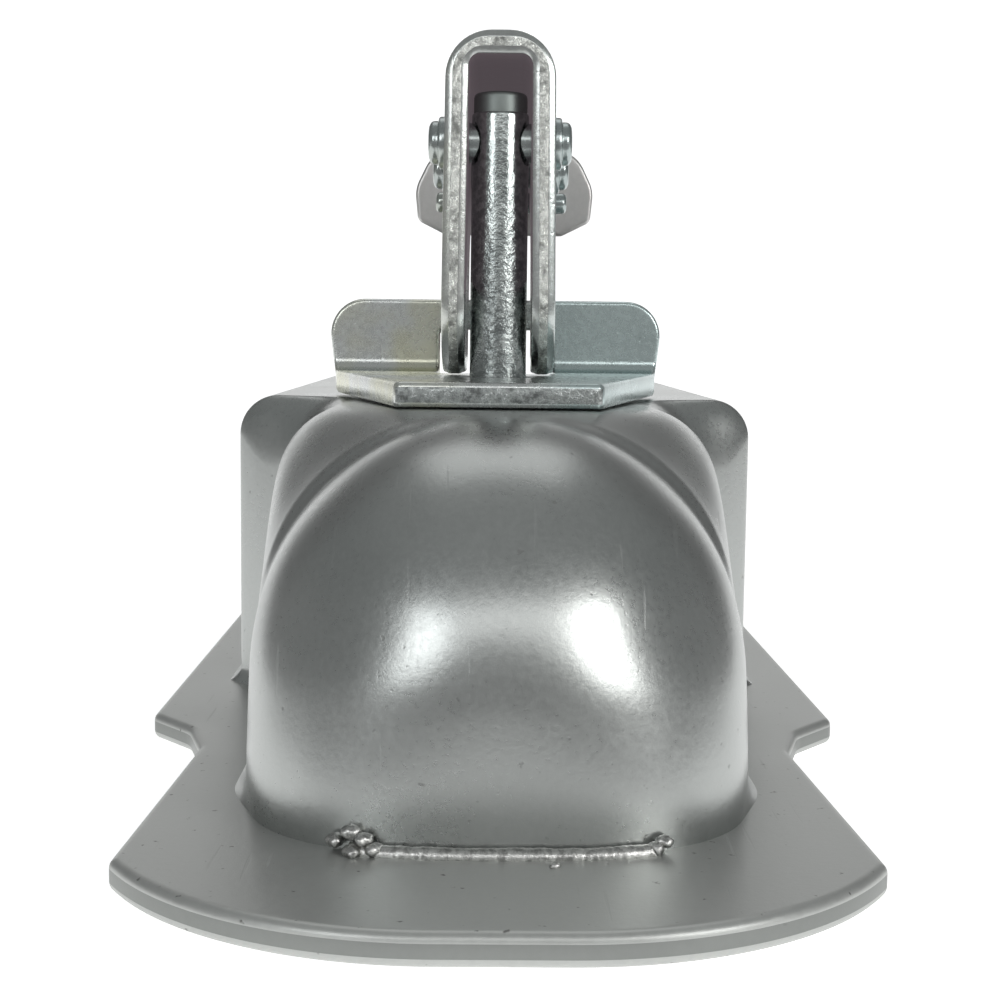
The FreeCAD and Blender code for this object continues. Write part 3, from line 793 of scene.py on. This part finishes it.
LEVER_PIN_HOLE, TRIGGER_PIN_HOLE = 3.55, 3.05
half_lever = [(LEVER_END, 0, 0), (LEVER_END, leg_at(103), 6), (STEM_Y + 19, leg_at(97), 9),
              (STEM_Y + 19, leg_at(LEVER_LOW), 6), (LEVER_FRONT, leg_at(LEVER_LOW), 14),
              (LEVER_FRONT, 0, 0)]
right_half = outline(half_lever)
left_half = right_half[::-1] * (1, -1)
blank = np.concatenate([right_half[1:-1], left_half[1:-1]])
pin_holes = []
for node, spare in (("lever_pin", LEVER_PIN_HOLE), ("trigger_pin", TRIGGER_PIN_HOLE)):
    y, z = middle_of(node)
    for sign in (-1, 1):
        pin_holes.append(arc((y, sign * leg_at(z)), spare, 0, 350, 36))
LEVER_ZINC = material("lever_zinc", zinc((0.58, 0.60, 0.585), 0.24, 650.0, 0.16, tint=0.2, soil=0.1))
LEVER_EDGE = material("lever_edge", sheared((0.62, 0.63, 0.60), 0.20, 0.75))
LEVER_RIM = [(0, 1.15), (0, 0.72), (0.08, 0.46), (0.24, 0.34), (1.14, 0.03), (1.3, 0)]
lever = plate("latch_lever_folded", blank, pin_holes, -LEVER_T / 2, LEVER_T / 2, LEVER_RIM, stack_up,
              "lever", [LEVER_ZINC, LEVER_EDGE], ["latch_lever"])
fold = np.linspace(web_half, leg_start, 13)
bent(lever, np.r_[-fold, fold], folded_lever)


def shade_inside(made, finish, box):
    """Gives painted shade, as a finish, to the faces that look down or inwards within a box of millimetres.
    """
    mesh = made.data
    count = len(mesh.polygons)
    centres, normals, kinds = np.empty(count * 3), np.empty(count * 3), np.empty(count, np.int32)
    mesh.polygons.foreach_get("center", centres)
    mesh.polygons.foreach_get("normal", normals)
    mesh.polygons.foreach_get("material_index", kinds)
    centres, normals = centres.reshape(-1, 3) / MM, normals.reshape(-1, 3)
    inside = np.all((centres > box[0]) & (centres < box[1]), axis=1)
    inward = (normals[:, 2] < -0.3) | (normals[:, 0] * centres[:, 0] < -0.3)
    mesh.materials.append(finish)
    kinds[inside & inward & (np.abs(normals[:, 1]) < 0.3)] = len(mesh.materials) - 1
    mesh.polygons.foreach_set("material_index", kinds)


# Painted shade for the lever's inside: a dark purplish colour, and a faint pinkish emission painted in as
# light bounced into it.
def shadowed(s, where):
    cloud = s.noise(where, 240.0, 3.0)
    return {
        "Base Color": s.mix(cloud, (0.095, 0.074, 0.083, 1), (0.16, 0.12, 0.135, 1)),
        "Metallic": 0.6,
        "Roughness": 0.5 + cloud * 0.2,
        "Emission Color": (1.0, 0.84, 0.93, 1),
        "Emission Strength": 0.07,
        "Normal": s.node("Bump", None, {"Strength": 0.2, "Distance": 0.0003, "Height": cloud}),
    }


# The lever's inside faces that look down or inwards are painted dark as shade.
shade_inside(lever, material("painted_shade_inside", shadowed),
             [(-7, LEVER_FRONT, 90), (7, LEVER_END, LEVER_TOP - 2)])
REST_TURN = Matrix.Rotation(math.radians(-1.3), 4, "Z")


def turned_with_lever(made):
    """The lever has play round the stem and rests turned a little: its pieces share that turn."""
    stem = Matrix.Translation((0, STEM_Y * MM, 0))
    made.data.transform(stem @ REST_TURN @ stem.inverted())


turned_with_lever(lever)

# ---------------------------------------------------------------- turned pieces
# The stem, its washer and nut, and the three cross pins, turned from bar. The stem is threaded at
# its foot and has a smooth band at its top painted dark, a painted reflection of the lever's shaded
# web; the pins' heads are riveted over.


def lathe(profile, centre, along, steps=72):
    """A profile of (distance along the axis, radius) points carried round an axis through centre."""
    path = np.array(profile, float)
    turn = np.arange(steps) * 2 * math.pi / steps
    a = np.broadcast_to(path[:, :1], (len(path), steps))
    u = path[:, 1:] * np.cos(turn)
    v = path[:, 1:] * np.sin(turn)
    axes = {"x": (a, u, v), "z": (u, v, a)}[along]
    return np.stack(axes, -1) + np.array(centre, float), grid_faces(len(path), steps, round_cols=True)


def threaded(low, high, radius, pitch, depth, centre, steps=48):
    """A thread: the radius follows a rounded tooth of the height less the turn times the pitch."""
    z = np.linspace(low, high, int((high - low) / pitch * 10))[:, None]
    turn = (np.arange(steps) * 2 * math.pi / steps)[None, :]
    phase = (z / pitch - turn / (2 * math.pi)) % 1
    tooth = np.abs(phase - 0.5) * 2
    fade = smooth(z, low, low + pitch) * (1 - smooth(z, high - pitch, high))
    r = radius - depth * fade * np.clip(1.3 * (1 - tooth), 0, 1)
    points = np.stack([r * np.cos(turn), r * np.sin(turn), np.broadcast_to(z, r.shape)], -1)
    return points + np.array(centre, float), grid_faces(len(z), steps, round_cols=True)


STEM_R = 500 * (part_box("clamp_stem")[1].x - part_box("clamp_stem")[0].x)
STEM_LOW, STEM_TOP = (1000 * corner.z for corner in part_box("clamp_stem"))
BAND = 3.5
band = STEM_TOP - BAND
stem_profile = [(16, STEM_R), (band - 0.5, STEM_R), (band - 0.25, STEM_R - 0.04),
                (band - 0.05, STEM_R - 0.16), (band, STEM_R - 0.3), (STEM_TOP - 0.8, STEM_R - 0.32),
                (STEM_TOP - 0.35, STEM_R - 0.45), (STEM_TOP - 0.1, STEM_R - 0.75),
                (STEM_TOP, STEM_R - 1.2), (STEM_TOP, 0)]
centre = (0, STEM_Y, 0)
foot = [(STEM_LOW, 0), (STEM_LOW, STEM_R - 1.2), (STEM_LOW + 0.4, STEM_R - 0.6), (STEM_LOW + 0.8, STEM_R)]


def stem_plating(s, where):
    """Bright and smooth above, pitted and darker towards the foot, with a band at the top painted dark and
    dull as a painted reflection of the lever's shaded web.
    """
    height = s.node("SeparateXYZ", None, {0: where}, output=2)
    pit = s.noise(where, 850.0, 3.0, 0.7)
    cloud = s.noise(where, 160.0, 3.0)
    low = 1 - s.step(height, 0.080, 0.112)
    # top: the band painted dark, a painted reflection of the lever's shaded web.
    top = s.step(height, (band - 0.1) * MM, (band + 0.05) * MM)
    clean = s.step(pit * 0.6 + cloud * 0.4, 0.40, 0.62)
    colour = s.mix(clean, (0.13, 0.145, 0.145, 1), (0.44, 0.47, 0.46, 1))
    colour = s.mix(low * 0.25, s.mix(0.4, colour, (0.42, 0.45, 0.44, 1)), colour)
    return {
        "Base Color": s.mix(top, colour, (0.24, 0.265, 0.255, 1)),
        "Metallic": 1.0,
        "Roughness": 0.13 + low * 0.10 + pit * 0.08 + top * 0.30,
        "Normal": s.node("Bump", None, {"Strength": 0.45, "Distance": 0.0005,
                                        "Height": pit * (low * 0.8 + 0.25) * (1 - top)}),
    }


STEM_PLATING = material("stem_plating", stem_plating)
piece("clamp_stem_turned", [lathe(foot, centre, "z", 48),
                            threaded(STEM_LOW + 0.8, 15.0, STEM_R, 1.5, 0.8, centre),
                            lathe([(15, STEM_R), (16, STEM_R)], centre, "z", 48),
                            lathe(stem_profile, centre, "z", 48)],
      "stem", [STEM_PLATING], ["clamp_stem"])

PIN_ZINC = material("pin_zinc", zinc((0.42, 0.455, 0.45), 0.24, 800.0, 0.15, tint=0.12, soil=0.2))
FACE = half_top + 0.05


def both_ends(right):
    """A cross piece's whole profile from its right half."""
    return [(-a, r) for a, r in reversed(right)] + right


def riveted_pin(name, node, head, dome):
    """Shank, a collar that turns over at its rim, and a rounded dome on it, the same at each end."""
    reach = FACE + 3.0
    y, z = middle_of(node)
    shank = dome - 0.3
    collar = [(FACE, shank), (FACE, head - 0.2), (FACE + 0.15, head), (FACE + 0.85, head),
              (FACE + 1.15, head - 0.18), (FACE + 1.25, head - 0.45), (FACE + 1.3, dome + 0.05),
              (FACE + 1.4, dome)]
    turn = np.linspace(0, math.pi / 2, 9)
    crown_h = reach - FACE - 1.9
    crown = [(FACE + 1.9 + crown_h * math.sin(t), dome - 1.4 + 1.4 * math.cos(t)) for t in turn]
    right = collar + crown + [(reach, 0)]
    turned = lathe(both_ends(right), (0, y, z), "x")
    turned_with_lever(piece(name, [turned], "lever", [PIN_ZINC], [node]))


riveted_pin("lever_pin_riveted", "lever_pin", 4.5, 3.75)
riveted_pin("trigger_pin_riveted", "trigger_pin", 4.2, 3.4)
stop_low, stop_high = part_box("stop_pin")
stop_r, stop_reach = 500 * (stop_high.z - stop_low.z), 1000 * stop_high.x
turn = np.linspace(0, math.pi / 2, 7)
right = [(stop_reach - 0.9 + 0.9 * math.sin(t), stop_r - 0.9 + 0.9 * math.cos(t)) for t in turn]
right += [(stop_reach, 0)]
stop_centre = (0, *middle_of("stop_pin"))
turned_with_lever(piece("stop_pin_rounded",
                        [lathe(both_ends(right), stop_centre, "x", 40)],
                        "lever", [PIN_ZINC], ["stop_pin"]))

bar_low, bar_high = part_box("clamp_rest_bar")
bar_r, bar_reach = 500 * (bar_high.z - bar_low.z), 1000 * bar_high.x
right = [(bar_reach - 0.8, bar_r), (bar_reach - 0.2, bar_r - 0.5), (bar_reach, bar_r - 0.9), (bar_reach, 0)]
bar_centre = (0, *middle_of("clamp_rest_bar"))
piece("clamp_rest_bar_turned", [lathe(both_ends(right), bar_centre, "x")],
      "coupler", [PIN_ZINC], ["clamp_rest_bar"])

washer_low, washer_high = (1000 * corner.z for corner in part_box("stem_washer"))
washer_r = 1000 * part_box("stem_washer")[1].x
ring = np.linspace(STEM_R + 0.1, washer_r - 0.4, 12)
dome = [(washer_high - (r * r - ring[0] ** 2) / (2 * 23.8), r) for r in ring]
washer_profile = dome + [(dome[-1][0] - 0.4, washer_r), (washer_low + 0.3, washer_r),
                         (washer_low, washer_r - 0.3), (washer_low, STEM_R + 0.1), dome[0]]
piece("stem_washer_domed", [lathe(washer_profile, centre, "z")], "stem",
      [PLATE_ZINC], ["stem_washer"])
nut_low, nut_high = (1000 * corner.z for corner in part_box("adjusting_nut"))
hexagon = outline([(9.81 * math.cos(a), STEM_Y + 9.81 * math.sin(a), 1.6)
                   for a in np.radians(np.arange(0, 360, 60))])
nut_bore = arc((0, STEM_Y), STEM_R + 0.1, 0, 352.5, 48)
plate("adjusting_nut_hex", hexagon, [nut_bore], nut_low, nut_high, rounding(0.9), stack_up,
      "stem", [PLATE_ZINC, PLATE_ZINC], ["adjusting_nut"])

# ---------------------------------------------------------------- trigger
# A bar on the lever's second pin, painted dark purplish as the shade under the lever's web, lying
# under the arm, with a hook that comes down behind the latch plate's wall and catches under it, and a
# light finger plate welded across its far end.


def standing(y, z, x):
    """A plate that stands on edge along the middle plane: its level is its place across."""
    return np.stack([x, y, z], -1)


FINGER_HALF = 21.6
FINGER_BOW = 0.8


def facing_back(x, z, depth):
    """The finger plate is bowed: its middle stands a little further back than its ends."""
    return np.stack([x, depth - FINGER_BOW * (x / FINGER_HALF) ** 2, z], -1)


boss = middle_of("trigger_pin")
bar_end = 1000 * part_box("trigger_bar")[1].y
hook_low = 1000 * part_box("trigger_bar")[0].z
rail_low, rail_high = 102.0, 1000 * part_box("trigger_bar")[1].z
BOSS_R = 5.4
under = math.degrees(math.asin((boss[1] - rail_low) / BOSS_R))
over = [(y, z, 0) for y, z in arc(boss, BOSS_R, 90, 360 - under, 30).tolist()]
tail = [(WALL_BACK + 0.8, rail_low, 0), (WALL_BACK + 0.8, 73.0, 0), (WALL_BACK - 1.6, 73.0, 0.9),
        (WALL_BACK - 1.6, hook_low, 0.9), (WALL_BACK + 7, hook_low, 3), (WALL_BACK + 8.8, rail_low, 4),
        (bar_end, rail_low, 0), (bar_end, rail_high, 0), (boss[0] + 6, rail_high, 4)]
profile = outline(over + tail)


# Painted shade: the bar's dark purplish colour copies the shade under the lever's web.
def painted_shade_purple(s, where):
    cloud = s.noise(where, 90.0, 4.0)
    fine = s.noise(where, 900.0, 3.0)
    return {
        "Base Color": s.mix(cloud, (0.13, 0.105, 0.115, 1), (0.26, 0.22, 0.235, 1)),
        "Metallic": 0.75,
        "Roughness": 0.38 + fine * 0.18,
        "Normal": s.node("Bump", None, {"Strength": 0.25, "Distance": 0.0003, "Height": fine}),
    }


DARK = material("painted_shade_purple", painted_shade_purple)
BAR_HALF = 5.0
bar = plate("trigger_bar_rounded", profile, [arc(boss, TRIGGER_PIN_HOLE, 0, 350, 36)], -BAR_HALF, BAR_HALF,
            rounding(0.4), standing, "trigger", [DARK, DARK], ["trigger_bar"])
finger_low, finger_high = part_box("finger_plate")
half_finger = [(14, 98.0, 2), (20.9, 101.4, 2), (FINGER_HALF, 109, 8), (18, 116.5, 8), (11, 120.3, 8)]
finger = outline(both_sides(half_finger))
FINGER_ZINC = material("finger_zinc", zinc((0.62, 0.61, 0.60), 0.36, 900.0, 0.05))
grip = plate("finger_plate_bowed", finger, [], 1000 * finger_low.y + FINGER_BOW, 1000 * finger_high.y,
             rounding(0.8), facing_back, "trigger", [FINGER_ZINC, FINGER_ZINC],
             ["finger_plate"])
for made in (bar, grip):
    turned_with_lever(made)

# ---------------------------------------------------------------- springs
# Two coils of drawn wire, their last turns closed up flat: a stout one round the stem that drives
# the clamp down, and a light one under the arm that holds the trigger's hook home and shortens
# towards the lever's web as the bar comes up.


def coil(node, turns, wire):
    """A helix whose pitch eases to the wire's own thickness over its first and last turn."""
    low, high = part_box(node)
    low, high = np.array(low) * 1000, np.array(high) * 1000
    middle = (low + high) / 2
    radius = (high[0] - low[0]) / 2 - wire
    t = np.linspace(0, turns, int(turns * 36))
    ease = np.clip(t, 0, 1) / 2 * np.clip(t, 0, 1) + np.maximum(t - 1, 0)
    back = np.clip(turns - t, 0, 1)
    ease = ease - np.where(t > turns - 1, 0.5 * (1 - back) ** 2, 0)
    rise = low[2] + wire + (ease / ease.max()) * (high[2] - low[2] - 2 * wire)
    turn = 2 * math.pi * t
    path = np.stack([middle[0] + radius * np.cos(turn), middle[1] + radius * np.sin(turn), rise], -1)
    return tube(path, wire, 14)


def wire_steel(s, where):
    drawn = s.noise(where, 700.0, 3.0)
    return {
        "Base Color": s.mix(drawn, (0.20, 0.20, 0.21, 1), (0.40, 0.40, 0.41, 1)),
        "Metallic": 1.0,
        "Roughness": 0.26 + drawn * 0.15,
        "Normal": s.node("Bump", None, {"Strength": 0.2, "Distance": 0.0002, "Height": drawn}),
    }


WIRE = material("wire_steel", wire_steel)
piece("clamp_spring_coil", [coil("clamp_spring", 7, 1.3)], "coupler", [WIRE],
      ["clamp_spring"], sharp=80)
trigger_coil = piece("trigger_spring_coil", [coil("trigger_spring", 6, 0.5)], "lever",
                     [WIRE], ["trigger_spring"], sharp=80)
turned_with_lever(trigger_coil)
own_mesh(trigger_coil)

# ---------------------------------------------------------------- socket cup and ball clamp
# Hidden in the body: the liner that the ball seats in, and the forked clamp that closes under the
# ball from behind. Both are plain forgings, plated with the body.
INSIDE_ZINC = material("inside_zinc", zinc((0.38, 0.385, 0.38), 0.42, 800.0, 0.2, soil=0.9))
for node in ("socket_cup", "ball_clamp"):
    mesh = frame["nodes"][node].data
    for index in range(len(mesh.materials)):
        mesh.materials[index] = INSIDE_ZINC
